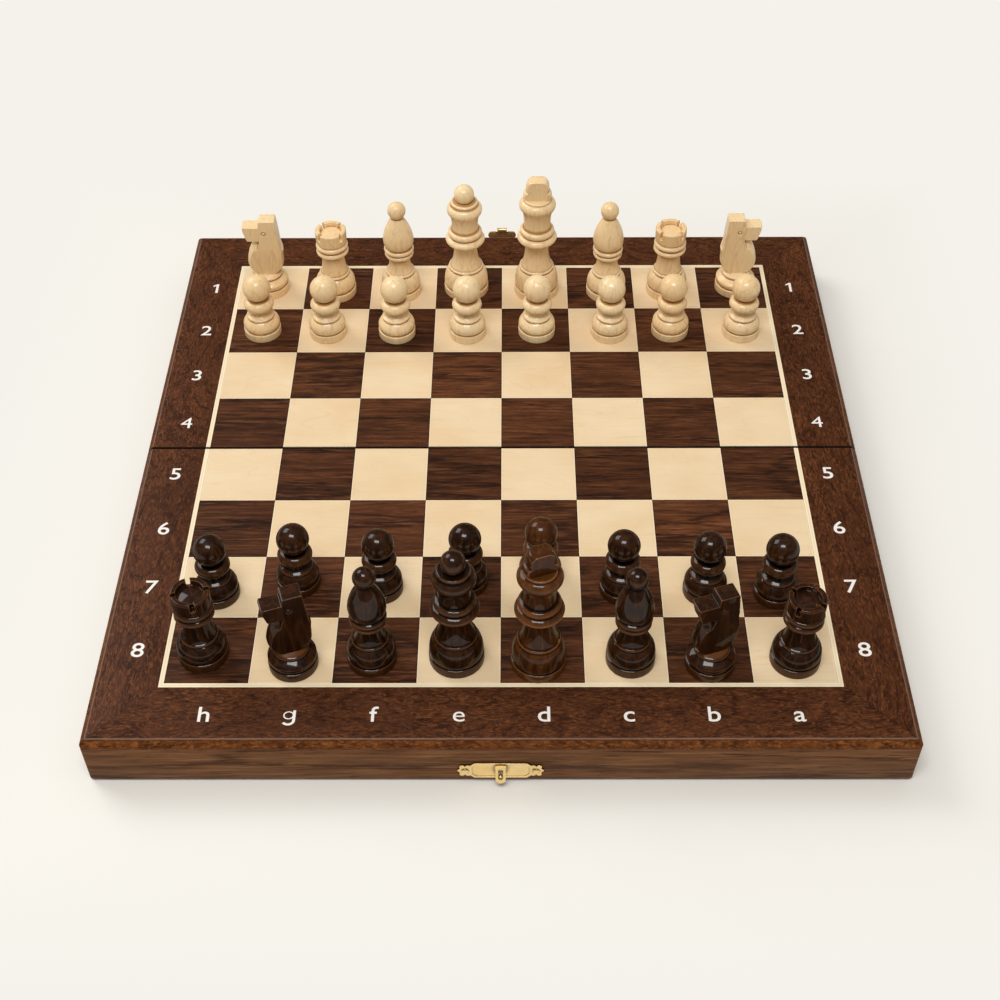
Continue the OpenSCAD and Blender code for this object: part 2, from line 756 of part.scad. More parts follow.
module queen() {
    h = queen_h;
    ball_r = 5.3;
    lip_r = queen_d / 2 - 2.7;
    lip_z = 16.2;
    turned(concat(
        foot(queen_d / 2, lip_r, lip_z),
        stem(lip_r, lip_z, 6, h - 36.4),
        two_rings(10.5, h - 36),
        bend([7.1, h - 26.9], [6.7, h - 20], [8.1, h - 17.4], 6),
        arc([6.3, h - 14.4], 3.1, -45, 62, 9),
        [[7.3, h - 11.3]],
        arc([6.4, h - 10], 0.8, -50, 80, 5),
        arc([0, h - ball_r], ball_r, -48, 90, 14)));
}

module king() {
    h = king_h;
    lip_r = king_d / 2 - 2.6;
    lip_z = 17;
    finial_z = h - 11.4;
    turned(concat(
        foot(king_d / 2, lip_r, lip_z),
        stem(lip_r, lip_z, 6, h - 39.2),
        two_rings(10.6, h - 38.8),
        bend([7.2, h - 29.7], [6.8, h - 21.4], [8.4, h - 18.4], 6),
        arc([6.6, h - 15.5], 3.1, -45, 66, 9),
        [[7.4, h - 12.5]],
        arc([6.5, finial_z - 0.7], 0.7, -25, 90, 4),
        [[0, finial_z]]));
    intersection() {
        turned(concat(
            [[0, finial_z - 1], [6.2, finial_z - 1], [6.3, finial_z]],
            bend([6.6, finial_z + 0.2], [8.2, h - 9.4], [6.9, h - 7.2], 5),
            [[5.8, h - 6.9]],
            bend([6, h - 6.2], [6.5, h - 1.3], [4.3, h - 0.5], 6),
            [[0, h]]));
        translate([-king_d, -finial_t / 2, finial_z - 1])
            cube([2 * king_d, finial_t, h - finial_z + 2]);
    }
}

module man(m) {
    color(m[3] > files / 2 ? stained_wood : boxwood)
        translate([(m[2] + 0.5) * square_side - grid + m[4][0],
                   grid - (m[3] - 0.5) * square_side + m[4][1], top_z]) rotate(m[5]) {
            if (m[1] == "pawn") pawn();
            if (m[1] == "rook") rook();
            if (m[1] == "knight") knight();
            if (m[1] == "bishop") bishop();
            if (m[1] == "queen") queen();
            if (m[1] == "king") king();
        }
}

// ---- assembly ----

panel();  // near_panel
latch_wall(catch_plate_z);  // near_front_wall
side_walls();  // near_side_walls
hinge_wall();  // near_hinge_wall
lining();  // near_lining
squares(false, false);  // near_light_squares
squares(false, true);  // near_dark_squares
line();  // near_line
border();  // near_border
hinge_leaves(0);  // near_hinge_leaves
fasteners(catch_plate_z);  // near_screws
hinge_pins();
catch_plate();
catch_loop();

half(true) panel();  // far_panel
half(true) latch_wall(hasp_plate_z);  // far_back_wall
half(true) side_walls();  // far_side_walls
half(true) hinge_wall();  // far_hinge_wall
half(true) lining();  // far_lining
squares(true, false);  // far_light_squares
squares(true, true);  // far_dark_squares
half(true) line();  // far_line
half(true) border();  // far_border
half(true) hinge_leaves(1);  // far_hinge_leaves
half(true) fasteners(hasp_plate_z);  // far_screws
hasp_plate();
hasp_pin();
hasp();

for (m = board_men) man(m);
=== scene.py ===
# Dresses the folding chess box: inlaid board, lacquered trays, turned men and brass latch.
# Sizes in the dictionaries are in millimetres, on the stage and for the camera in metres.
import math

import bmesh
import bpy
from mathutils import Matrix, Vector


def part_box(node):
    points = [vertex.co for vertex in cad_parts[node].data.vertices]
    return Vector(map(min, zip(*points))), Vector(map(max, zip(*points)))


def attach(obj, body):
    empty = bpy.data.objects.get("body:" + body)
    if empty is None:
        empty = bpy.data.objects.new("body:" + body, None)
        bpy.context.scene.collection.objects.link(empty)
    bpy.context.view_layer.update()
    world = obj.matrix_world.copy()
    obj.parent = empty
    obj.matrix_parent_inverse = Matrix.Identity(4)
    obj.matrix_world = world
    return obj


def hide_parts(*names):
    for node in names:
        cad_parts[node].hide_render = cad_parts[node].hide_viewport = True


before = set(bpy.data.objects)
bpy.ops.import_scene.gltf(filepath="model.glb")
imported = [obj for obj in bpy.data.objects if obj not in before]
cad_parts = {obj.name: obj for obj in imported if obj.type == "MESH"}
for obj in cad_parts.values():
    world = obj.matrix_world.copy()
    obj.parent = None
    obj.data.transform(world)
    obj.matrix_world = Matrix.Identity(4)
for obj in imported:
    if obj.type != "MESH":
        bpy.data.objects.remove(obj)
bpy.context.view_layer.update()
mm = 0.001
print("frame loaded:", len(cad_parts), "nodes")

board = {
    "side": 36.0, "line": 2.2, "halfWidth": 175.0, "topZ": 27.4, "veneer": 0.6,
    "glue": 0.1, "seam": 0.3, "seamChamfer": 0.5, "edgeChamfer": 2.5,
}
board["grid"] = 4 * board["side"]


def addNode(tree, kind, values=None, **settings):
    node = tree.nodes.new(kind)
    for key, value in settings.items():
        setattr(node, key, value)
    for key, value in (values or {}).items():
        if isinstance(value, bpy.types.NodeSocket):
            tree.links.new(value, node.inputs[key])
        else:
            node.inputs[key].default_value = value
    return node


def calc(tree, operation, a, b=0.0, c=0.0):
    node = addNode(tree, "ShaderNodeMath", {0: a, 1: b, 2: c}, operation=operation)
    return node.outputs[0]


def absolute(tree, value):
    return calc(tree, "ABSOLUTE", value)


def split(tree, vector):
    return addNode(tree, "ShaderNodeSeparateXYZ", {0: vector}).outputs


def blendColour(tree, amount, a, b, mode="MIX"):
    a, b = ((*colour, 1) if isinstance(colour, tuple) else colour for colour in (a, b))
    node = addNode(tree, "ShaderNodeMix", {0: amount, 6: a, 7: b},
                   data_type="RGBA", blend_type=mode)
    return node.outputs[2]


def ramp(tree, value, stops):
    node = addNode(tree, "ShaderNodeValToRGB", {0: value})
    elements = node.color_ramp.elements
    while len(elements) < len(stops):
        elements.new(0.5)
    for element, (place, colour) in zip(elements, stops):
        element.position = place
        element.color = (*colour, 1)
    return node.outputs[0]


def spread(tree, value, low, high, newLow=0.0, newHigh=1.0):
    node = addNode(tree, "ShaderNodeMapRange",
                   {0: value, 1: low, 2: high, 3: newLow, 4: newHigh}, clamp=True)
    return node.outputs[0]


def noise(tree, place, scale, detail=3.0, rough=0.55, distort=0.0):
    node = addNode(tree, "ShaderNodeTexNoise",
                   {"Vector": place, "Scale": scale, "Detail": detail, "Roughness": rough,
                    "Distortion": distort})
    return node.outputs[0]


def stretch(tree, place, scale, turn=(0, 0, 0)):
    node = addNode(tree, "ShaderNodeMapping", {"Vector": place, "Scale": scale, "Rotation": turn})
    return node.outputs[0]


def newMaterial(name, rough, **shaderValues):
    material = bpy.data.materials.new(name)
    material.use_nodes = True
    tree = material.node_tree
    shader = tree.nodes["Principled BSDF"]
    shader.inputs["Roughness"].default_value = rough
    for key, value in shaderValues.items():
        shader.inputs[key.replace("_", " ")].default_value = value
    place = addNode(tree, "ShaderNodeTexCoord").outputs["Object"]
    return material, tree, shader, place


def bumpFrom(tree, shader, height, depth):
    node = addNode(tree, "ShaderNodeBump", {"Height": height, "Distance": depth * mm})
    tree.links.new(node.outputs[0], shader.inputs["Normal"])


def woodColour(tree, place, look):
    # place has the grain along X; gives the colour and a height for the bump
    sway = noise(tree, stretch(tree, place, (9, 26, 26)), 1.0, 2)
    growth = noise(tree, stretch(tree, place, look["growth"]), 1.0, 3, 0.5, 0.5)
    bands = calc(tree, "PINGPONG", calc(tree, "MULTIPLY", growth, look["rings"]), 0.5)
    bands = calc(tree, "MULTIPLY", bands, 2.0)
    fibre = noise(tree, stretch(tree, place, look["fibre"]), 1.0, 5, 0.65, look["curl"])
    colour = ramp(tree, bands, [(0.0, look["deep"]), (0.5, look["middle"]), (1.0, look["middle"])])
    colour = blendColour(tree, spread(tree, fibre, 0.5, 0.66), colour, look["warm"])
    colour = blendColour(tree, spread(tree, fibre, 0.46, 0.32, 0, 0.8), colour, look["deep"])
    colour = blendColour(tree, spread(tree, sway, 0.4, 0.68, 0, look["cloud"]), colour,
                         look["deep"])
    pores = noise(tree, stretch(tree, place, look["pores"]), 1.0, 2, 0.6)
    poreMask = spread(tree, pores, look["poreFrom"], look["poreFrom"] + 0.08, 0, look["poreDepth"])
    colour = blendColour(tree, poreMask, colour, look["pore"])
    flecks = spread(tree, pores, 0.42, 0.34, 0, look["fleck"])
    colour = blendColour(tree, flecks, colour, look["fleckColour"])
    height = calc(tree, "SUBTRACT", calc(tree, "MULTIPLY", fibre, 0.6), poreMask)
    return colour, height


seamPaintedShade = {"solidTo": 0.62, "fadedAt": 0.78, "depth": 1.2, "cover": 0.96,
             "colour": (0.008, 0.004, 0.003)}


def seamShade(tree, place, colour):
    # painted shade: the gap where the two trays meet is painted as a dark line, only along their
    # top edges
    parts = split(tree, place)
    dark = spread(tree, absolute(tree, parts[1]), seamPaintedShade["solidTo"] * mm,
                  seamPaintedShade["fadedAt"] * mm, seamPaintedShade["cover"], 0)
    top = calc(tree, "GREATER_THAN", parts[2], (board["topZ"] - seamPaintedShade["depth"]) * mm)
    return blendColour(tree, calc(tree, "MULTIPLY", dark, top), colour, seamPaintedShade["colour"])


def cellShift(tree, place):
    # every square gets its own piece of veneer; also gives a random value and the edge in mm
    parts = split(tree, place)
    across = [calc(tree, "DIVIDE", parts[i], board["side"] * mm) for i in (0, 1)]
    cell = [calc(tree, "FLOOR", value) for value in across]
    cellPlace = addNode(tree, "ShaderNodeCombineXYZ", {0: cell[0], 1: cell[1]}).outputs[0]
    random = addNode(tree, "ShaderNodeTexWhiteNoise", {"Vector": cellPlace},
                     noise_dimensions="3D")
    moved = addNode(tree, "ShaderNodeVectorMath", {0: random.outputs[1], 1: (3.0, 3.0, 3.0)},
                    operation="MULTIPLY_ADD")
    tree.links.new(place, moved.inputs[2])
    edges = [calc(tree, "PINGPONG", calc(tree, "FRACT", value), 0.5) for value in across]
    edge = calc(tree, "MULTIPLY", calc(tree, "MINIMUM", *edges), board["side"])
    return moved.outputs[0], random.outputs[0], edge


darkFigure = {
    "deep": (0.026, 0.0088, 0.0040), "middle": (0.086, 0.028, 0.0105),
    "warm": (0.165, 0.058, 0.021), "pore": (0.012, 0.005, 0.003), "cloud": 0.4, "rings": 5.0,
    "growth": (7, 42, 42), "fibre": (45, 620, 620), "pores": (120, 1200, 1200), "poreFrom": 0.6,
    "poreDepth": 0.7, "fleck": 0.25, "fleckColour": (0.20, 0.07, 0.024), "curl": 0.5,
    "joint": (0.02, 0.01, 0.007),
}
squareFigure = dict(darkFigure, growth=(9, 55, 55), rings=4.0)


def darkSquareMaterial():
    material, tree, shader, place = newMaterial("darkVeneer", 0.42, Specular_IOR_Level=0.12)
    moved, random, edge = cellShift(tree, place)
    colour, height = woodColour(tree, moved, squareFigure)
    tone = spread(tree, random, 0, 1, 0.82, 1.2)
    grey = addNode(tree, "ShaderNodeCombineXYZ", {0: tone, 1: tone, 2: tone}).outputs[0]
    colour = blendColour(tree, 1.0, colour, grey, "MULTIPLY")
    colour = blendColour(tree, spread(tree, edge, 0.05, 0.4, 0.7, 0), colour,
                         squareFigure["joint"])
    tree.links.new(seamShade(tree, place, colour), shader.inputs["Base Color"])
    bumpFrom(tree, shader, height, 0.05)
    return material


lightFigure = {
    "cloud": ((0.78, 0.573, 0.338), (0.845, 0.672, 0.442)), "vein": (0.72, 0.46, 0.24),
    "fibre": (0.76, 0.52, 0.29), "tan": (0.70, 0.47, 0.26), "tanIn": 1.1,
    "joint": (0.96, 0.83, 0.60),
}


def lightSquareMaterial():
    material, tree, shader, place = newMaterial("lightVeneer", 0.4, Specular_IOR_Level=0.3)
    moved, _, edge = cellShift(tree, place)
    cloud = noise(tree, stretch(tree, moved, (28, 45, 30)), 1.0, 3)
    vein = noise(tree, stretch(tree, moved, (12, 42, 30)), 1.0, 2, 0.5, 0.8)
    veinLine = calc(tree, "PINGPONG", calc(tree, "MULTIPLY", vein, 9.0), 0.5)
    fibre = noise(tree, stretch(tree, moved, (60, 900, 900)), 1.0, 4, 0.6)
    colour = blendColour(tree, spread(tree, cloud, 0.3, 0.7), *lightFigure["cloud"])
    colour = blendColour(tree, spread(tree, veinLine, 0.0, 0.045, 0.3, 0), colour,
                         lightFigure["vein"])
    colour = blendColour(tree, spread(tree, fibre, 0.35, 0.65, 0.0, 0.22), colour,
                         lightFigure["fibre"])
    tan = absolute(tree, calc(tree, "SUBTRACT", edge, lightFigure["tanIn"]))
    colour = blendColour(tree, spread(tree, tan, 0.0, 0.3, 0.22, 0), colour, lightFigure["tan"])
    colour = blendColour(tree, spread(tree, edge, 0.15, 0.6, 0.65, 0), colour,
                         lightFigure["joint"])
    tree.links.new(seamShade(tree, place, colour), shader.inputs["Base Color"])
    bumpFrom(tree, shader, fibre, 0.03)
    return material


def fromMiddle(tree, place):
    parts = split(tree, place)
    return calc(tree, "MAXIMUM", absolute(tree, parts[0]), absolute(tree, parts[1]))


stringing = {"core": (0.74, 0.53, 0.32), "edge": (0.93, 0.80, 0.56), "fibre": (0.82, 0.62, 0.38),
             "coreAt": 0.52}


def lineMaterial():
    material, tree, shader, place = newMaterial("stringing", 0.4, Specular_IOR_Level=0.3)
    coreAt = (board["grid"] + board["line"] * stringing["coreAt"]) * mm
    across = absolute(tree, calc(tree, "SUBTRACT", fromMiddle(tree, place), coreAt))
    fibre = noise(tree, stretch(tree, place, (400, 400, 400)), 1.0, 4)
    colour = blendColour(tree, spread(tree, across, 0.1 * mm, 0.4 * mm, 0.5, 0),
                         stringing["edge"], stringing["core"])
    colour = blendColour(tree, spread(tree, fibre, 0.3, 0.7, 0, 0.3), colour, stringing["fibre"])
    tree.links.new(seamShade(tree, place, colour), shader.inputs["Base Color"])
    bumpFrom(tree, shader, fibre, 0.02)
    return material


borderFigure = dict(
    darkFigure, growth=(16, 40, 4), rings=11.0, deep=(0.036, 0.0115, 0.0045),
    middle=(0.078, 0.0255, 0.0098), warm=(0.175, 0.058, 0.019), fibre=(150, 420, 60), curl=2.6,
    pores=(320, 900, 10), paintedEdgeHighlight=(0.30, 0.19, 0.13), stripShift=1.7)


def borderMaterial():
    material, tree, shader, place = newMaterial("borderVeneer", 0.42, Specular_IOR_Level=0.08)
    parts = split(tree, place)
    reachX, reachY = absolute(tree, parts[0]), absolute(tree, parts[1])
    sideways = calc(tree, "GREATER_THAN", reachX, reachY)
    right = calc(tree, "GREATER_THAN", parts[0], 0.0)
    along = addNode(tree, "ShaderNodeMix", {0: sideways}, data_type="VECTOR")
    tree.links.new(place, along.inputs[4])
    turned = addNode(tree, "ShaderNodeCombineXYZ", {0: parts[1], 1: parts[0]})
    strip = calc(tree, "ADD", calc(tree, "MULTIPLY", sideways, borderFigure["stripShift"]), right)
    tree.links.new(strip, turned.inputs[2])
    tree.links.new(turned.outputs[0], along.inputs[5])
    colour, height = woodColour(tree, along.outputs[1], borderFigure)
    mitre = absolute(tree, calc(tree, "SUBTRACT", reachX, reachY))
    colour = blendColour(tree, spread(tree, mitre, 0.1 * mm, 0.35 * mm, 0.6, 0), colour,
                         borderFigure["joint"])
    # painted highlight: a thin lighter line along the border's outer top edge, where the eased edge
    # catches the light
    edgeAt = (board["halfWidth"] - board["edgeChamfer"]) * mm
    paintedEdgeHighlight = absolute(tree, calc(tree, "SUBTRACT", fromMiddle(tree, place), edgeAt))
    colour = blendColour(tree, spread(tree, paintedEdgeHighlight, 0.15 * mm, 0.45 * mm, 0.5, 0), colour,
                         borderFigure["paintedEdgeHighlight"])
    tree.links.new(seamShade(tree, place, colour), shader.inputs["Base Color"])
    bumpFrom(tree, shader, height, 0.06)
    return material


grainTurn = {"x": (0, 0, 0), "y": (0, 0, math.pi / 2)}
wallFigure = {
    "deep": (0.070, 0.028, 0.0115), "middle": (0.170, 0.073, 0.031), "warm": (0.27, 0.124, 0.053),
    "pore": (0.030, 0.013, 0.006), "cloud": 0.35, "rings": 4.0, "growth": (6, 60, 60),
    "fibre": (28, 520, 520), "pores": (90, 1300, 1300), "poreFrom": 0.6, "poreDepth": 0.6,
    "fleck": 0.3, "fleckColour": (0.24, 0.12, 0.055), "curl": 0.3,
}
panelFigure = {
    "deep": (0.055, 0.016, 0.0035), "middle": (0.135, 0.040, 0.0085), "warm": (0.23, 0.078, 0.018),
    "pore": (0.035, 0.012, 0.004), "cloud": 0.45, "rings": 5.0, "growth": (70, 90, 90),
    "fibre": (240, 520, 520), "pores": (420, 900, 900), "poreFrom": 0.6, "poreDepth": 0.6,
    "fleck": 0.45, "fleckColour": (0.33, 0.12, 0.036), "curl": 0.8,
}


def wallMaterial(name, along, look):
    material, tree, shader, place = newMaterial(name, 0.5, Specular_IOR_Level=0.06)
    colour, height = woodColour(tree, stretch(tree, place, (1, 1, 1), grainTurn[along]), look)
    tree.links.new(seamShade(tree, place, colour), shader.inputs["Base Color"])
    bumpFrom(tree, shader, height, 0.08)
    return material


# pointiness bands: sharp edges lighter for wear and a painted highlight, grooves darker for painted
# shade
wearHighlightShadeFrom = {"edge": (0.511, 0.538), "groove": (0.496, 0.472)}  # pointiness of a turned man
lightMan = {
    "deep": (0.90, 0.635, 0.335), "middle": (0.96, 0.735, 0.430), "warm": (0.56, 0.290, 0.100),
    "edge": (0.96, 0.78, 0.50), "squash": 0.16, "growth": 150.0, "rings": 5.0, "lineWidth": 0.12,
    "line": 0.3, "fibre": 900.0, "streak": 0.16, "wearAndHighlight": 0.35, "paintedCreaseShade": 0.9, "rough": 0.38,
    "groove": (0.48, 0.235, 0.075), "shine": 0.25, "coat": 0.2, "coatRough": 0.12,
    "coatIor": 2.0, "bump": 0.02,
}
darkMan = {
    "deep": (0.006, 0.0020, 0.0007), "middle": (0.019, 0.0057, 0.0016),
    "warm": (0.065, 0.021, 0.0050), "edge": (0.18, 0.062, 0.015), "squash": 0.16, "growth": 150.0,
    "rings": 4.0, "lineWidth": 0.3, "line": 0.5, "fibre": 700.0, "streak": 0.3, "wearAndHighlight": 0.75,
    "paintedCreaseShade": 0.85, "groove": (0.003, 0.0012, 0.0005), "rough": 0.36, "shine": 0.05,
    "coat": 0.17, "coatRough": 0.05, "coatIor": 2.2, "bump": 0.006,
}
brownMan = dict(darkMan, deep=(0.013, 0.0038, 0.0010), middle=(0.044, 0.0132, 0.0030),
                warm=(0.12, 0.038, 0.0075), edge=(0.33, 0.12, 0.027), coat=0.14)


def manMaterial(name, look):
    material, tree, shader, place = newMaterial(
        name, look["rough"], Coat_Weight=look["coat"], Coat_Roughness=look["coatRough"],
        Coat_IOR=look["coatIor"], Specular_IOR_Level=look["shine"])
    tall = stretch(tree, place, (1, 1, look["squash"]))
    tone = noise(tree, place, 16.0, 1)
    growth = noise(tree, tall, look["growth"], 2, 0.5, 0.3)
    bands = calc(tree, "PINGPONG", calc(tree, "MULTIPLY", growth, look["rings"]), 0.5)
    fibre = noise(tree, tall, look["fibre"], 4, 0.6)
    colour = blendColour(tree, spread(tree, tone, 0.35, 0.65), look["deep"], look["middle"])
    colour = blendColour(tree, spread(tree, bands, 0.0, look["lineWidth"], look["line"], 0), colour,
                         look["warm"])
    colour = blendColour(tree, spread(tree, fibre, 0.4, 0.7, 0, look["streak"]), colour,
                         look["warm"])
    curvature = addNode(tree, "ShaderNodeNewGeometry").outputs["Pointiness"]
    # lighter at sharp edges: partly wear of the finish, partly a painted highlight
    colour = blendColour(tree, spread(tree, curvature, *wearHighlightShadeFrom["edge"], 0, look["wearAndHighlight"]), colour,
                         look["edge"])
    # painted shade: darker in the grooves and creases, where shade falls
    colour = blendColour(tree, spread(tree, curvature, *wearHighlightShadeFrom["groove"], 0, look["paintedCreaseShade"]), colour,
                         look["groove"])
    tree.links.new(colour, shader.inputs["Base Color"])
    bumpFrom(tree, shader, fibre, look["bump"])
    return material


brassLook = {"bright": (0.99, 0.72, 0.33), "warm": (0.92, 0.63, 0.25), "patinaAndShadeInNooks": (0.10, 0.045, 0.012),
             "nookReach": 2.4, "rough": (0.2, 0.25)}


def brassMaterial():
    material, tree, shader, place = newMaterial("stampedBrass", 0.3, Metallic=0.8)
    cloud = noise(tree, place, 160.0, 2)
    scratch = noise(tree, stretch(tree, place, (300, 2600, 2600)), 1.0, 4, 0.7)
    colour = blendColour(tree, spread(tree, cloud, 0.35, 0.7), brassLook["bright"],
                         brassLook["warm"])
    # darker in the nooks: partly patina, partly painted shade where the loop, nails and plate edges
    # meet
    patinaAndShadeInNooks = addNode(tree, "ShaderNodeAmbientOcclusion",
                   {"Distance": brassLook["nookReach"] * mm}, samples=12).outputs["AO"]
    colour = blendColour(tree, spread(tree, patinaAndShadeInNooks, 0.97, 0.6, 0, 0.95), colour, brassLook["patinaAndShadeInNooks"])
    tree.links.new(colour, shader.inputs["Base Color"])
    tree.links.new(spread(tree, scratch, 0.3, 0.7, *brassLook["rough"]),
                   shader.inputs["Roughness"])
    return material


feltLook = {"dark": (0.010, 0.045, 0.018), "light": (0.03, 0.10, 0.045),
            "cloud": (0.016, 0.06, 0.026)}


def feltMaterial():
    material, tree, shader, place = newMaterial("feltLining", 0.95, Sheen_Weight=0.4,
                                                Sheen_Roughness=0.5)
    fluff = noise(tree, place, 1500.0, 5, 0.7)
    cloud = noise(tree, place, 45.0, 3)
    colour = blendColour(tree, spread(tree, fluff, 0.3, 0.7), feltLook["dark"], feltLook["light"])
    colour = blendColour(tree, spread(tree, cloud, 0.35, 0.7, 0, 0.3), colour, feltLook["cloud"])
    tree.links.new(colour, shader.inputs["Base Color"])
    bumpFrom(tree, shader, fluff, 0.25)
    return material


printLook = {"white": (0.90, 0.87, 0.82), "grey": (0.78, 0.74, 0.68)}


def printMaterial():
    material, tree, shader, place = newMaterial("whitePrint", 0.5)
    speck = noise(tree, place, 900.0, 4)
    colour = blendColour(tree, spread(tree, speck, 0.3, 0.75), printLook["white"],
                         printLook["grey"])
    tree.links.new(colour, shader.inputs["Base Color"])
    bumpFrom(tree, shader, speck, 0.01)
    return material


finish = {
    "darkVeneer": darkSquareMaterial(), "lightVeneer": lightSquareMaterial(),
    "stringing": lineMaterial(), "border": borderMaterial(), "brass": brassMaterial(),
    "felt": feltMaterial(), "print": printMaterial(),
    "wallX": wallMaterial("wallAlongX", "x", wallFigure),
    "wallY": wallMaterial("wallAlongY", "y", wallFigure),
    "panel": wallMaterial("edgeWood", "x", panelFigure),
    "lightMan": manMaterial("boxwood", lightMan), "darkMan": manMaterial("stainedWood", darkMan),
    "brownMan": manMaterial("brownStainedWood", brownMan),
}
print("materials ready:", len(finish))

shownPieces = bpy.data.collections.new("shownPieces")
bpy.context.scene.collection.children.link(shownPieces)


def addPiece(name, mesh, body, slotName, material, *nodes):
    piece = bpy.data.objects.new(name, mesh)
    shownPieces.objects.link(piece)
    mesh.materials.clear()
    mesh.materials.append(finish[material])
    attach(piece, body)
    if nodes:
        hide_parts(*nodes)
    return piece


def smoothed(mesh, sharpAngle=38):
    for polygon in mesh.polygons:
        polygon.use_smooth = True
    mesh.set_sharp_from_angle(angle=math.radians(sharpAngle))
    return mesh


def meshFrom(bm, name):
    mesh = bpy.data.meshes.new(name)
    bm.to_mesh(mesh)
    bm.free()
    return mesh


def tempObject(mesh):
    item = bpy.data.objects.new("bench", mesh)
    bpy.context.scene.collection.objects.link(item)
    return item


def applied(item):
    depsgraph = bpy.context.evaluated_depsgraph_get()
    mesh = bpy.data.meshes.new_from_object(item.evaluated_get(depsgraph))
    bpy.data.objects.remove(item)
    return mesh


def arc(x, z, r, a0, a1, n=10):
    return [(x + r * math.cos(math.radians(a0 + (a1 - a0) * i / n)),
             z + r * math.sin(math.radians(a0 + (a1 - a0) * i / n))) for i in range(n + 1)]


def bend(a, b, c, n=10):
    return [tuple((1 - t) ** 2 * a[k] + 2 * t * (1 - t) * b[k] + t * t * c[k] for k in (0, 1))
            for t in (i / n for i in range(n + 1))]


def turnedMesh(outline, steps=96):
    # outline holds (radius, height) in mm from the middle of the foot to the middle of the top
    points = [p for i, p in enumerate(outline)
              if i == 0 or math.dist(p, outline[i - 1]) > 0.02]
    bm = bmesh.new()
    rings = []
    for r, z in points:
        if r < 0.01:
            rings.append([bm.verts.new((0, 0, z * mm))])
            continue
        rings.append([bm.verts.new((r * mm * math.cos(2 * math.pi * k / steps),
                                    r * mm * math.sin(2 * math.pi * k / steps), z * mm))
                      for k in range(steps)])
    for low, high in zip(rings, rings[1:]):
        for k in range(steps):
            n = (k + 1) % steps
            if len(low) == 1:
                bm.faces.new((low[0], high[n], high[k]))
            elif len(high) == 1:
                bm.faces.new((low[k], low[n], high[0]))
            else:
                bm.faces.new((low[k], low[n], high[n], high[k]))
    bmesh.ops.recalc_face_normals(bm, faces=bm.faces)
    return meshFrom(bm, "turned")


def ringMesh(inner, outer, half):
    return turnedMesh([(inner, -half), (outer, -half), (outer, half), (inner, half),
                       (inner, -half)], 32)


def boxMesh(low, high):
    bm = bmesh.new()
    bmesh.ops.create_cube(bm, size=1)
    for v in bm.verts:
        v.co = Vector([(low[i] if v.co[i] < 0 else high[i]) * mm for i in range(3)])
    return meshFrom(bm, "block")


def slabMesh(outline, halfThick):
    # outline holds (x, z) in mm, drawn out along Y
    bm = bmesh.new()
    front = [bm.verts.new((x * mm, -halfThick * mm, z * mm)) for x, z in outline]
    back = [bm.verts.new((x * mm, halfThick * mm, z * mm)) for x, z in outline]
    bm.faces.new(front)
    bm.faces.new(list(reversed(back)))
    for i in range(len(outline)):
        n = (i + 1) % len(outline)
        bm.faces.new((front[n], front[i], back[i], back[n]))
    bmesh.ops.recalc_face_normals(bm, faces=bm.faces)
    return meshFrom(bm, "slab")


def rodMesh(radius, length, centre, axis):
    bm = bmesh.new()
    bmesh.ops.create_cone(bm, cap_ends=True, segments=32, radius1=radius * mm,
                          radius2=radius * mm, depth=length * mm)
    mesh = meshFrom(bm, "rod")
    turn = Vector(axis).to_track_quat("Z", "Y").to_matrix().to_4x4()
    mesh.transform(Matrix.Translation(Vector(centre) * mm) @ turn)
    return mesh


def carvedPlain(base, cuts):
    # each cut names a boolean operation and the mesh of its tool
    item = tempObject(base)
    tools = []
    for operation, mesh in cuts:
        tool = tempObject(mesh)
        tools.append(tool)
        modifier = item.modifiers.new("cut", "BOOLEAN")
        modifier.operation = operation
        modifier.object = tool
        modifier.solver = "EXACT"
    mesh = applied(item)
    for tool in tools:
        bpy.data.objects.remove(tool)
    return mesh


carving = {"voxel": 0.2, "sanding": 0.5}


def carved(base, cuts, rounds):
    # carved, then finely remeshed and sanded
    item = tempObject(carvedPlain(base, cuts))
    grain = item.modifiers.new("remesh", "REMESH")
    grain.mode = "VOXEL"
    grain.voxel_size = carving["voxel"] * mm
    sanding = item.modifiers.new("sanding", "SMOOTH")
    sanding.factor = carving["sanding"]
    sanding.iterations = rounds
    mesh = applied(item)
    for polygon in mesh.polygons:
        polygon.use_smooth = True
    return mesh


def joined(*meshes):
    bm = bmesh.new()
    for mesh in meshes:
        bm.from_mesh(mesh)
    return meshFrom(bm, "joined")


men = {
    "pawn": {"d": 19.5, "h": 36.5, "lipZ": 12.2, "ballR": 7.25},
    "rook": {"d": 21.8, "h": 41.6, "lipZ": 14.0, "rimR": 8.3, "drillR": 1.15},
    "knight": {"d": 21.4, "h": 46.5, "lipZ": 11.0, "thick": 7.6, "throatX": -3.9, "eyeX": 1.2,
               "eyeDown": 7.6, "eyeIn": 0.65, "eyeOut": 1.35, "eyeDeep": 0.5},
    "bishop": {"d": 21.4, "h": 58.0, "lipZ": 14.6, "ballR": 4.8},
    "queen": {"d": 24.0, "h": 67.0, "lipZ": 16.2, "ballR": 5.3},
    "king": {"d": 23.8, "h": 72.0, "lipZ": 17.0, "thick": 7.0},
}


def foot(r, lipR, lipZ):
    return ([(0, 0), (r - 0.5, 0)] + arc(r - 0.5, 0.5, 0.5, -90, 0, 5)
            + arc(r - 0.5, 4, 0.5, 0, 75, 5) + [(r - 1, 4.75)]
            + bend((r - 0.9, 5.0), (r - 0.05, 5.4), (r - 0.2, 7.4), 8)
            + bend((r - 0.22, 7.6), (r - 0.6, lipZ - 2.6), (lipR - 0.5, lipZ - 1), 12)
            + arc(lipR - 0.8, lipZ, 0.8, -65, 65, 8))


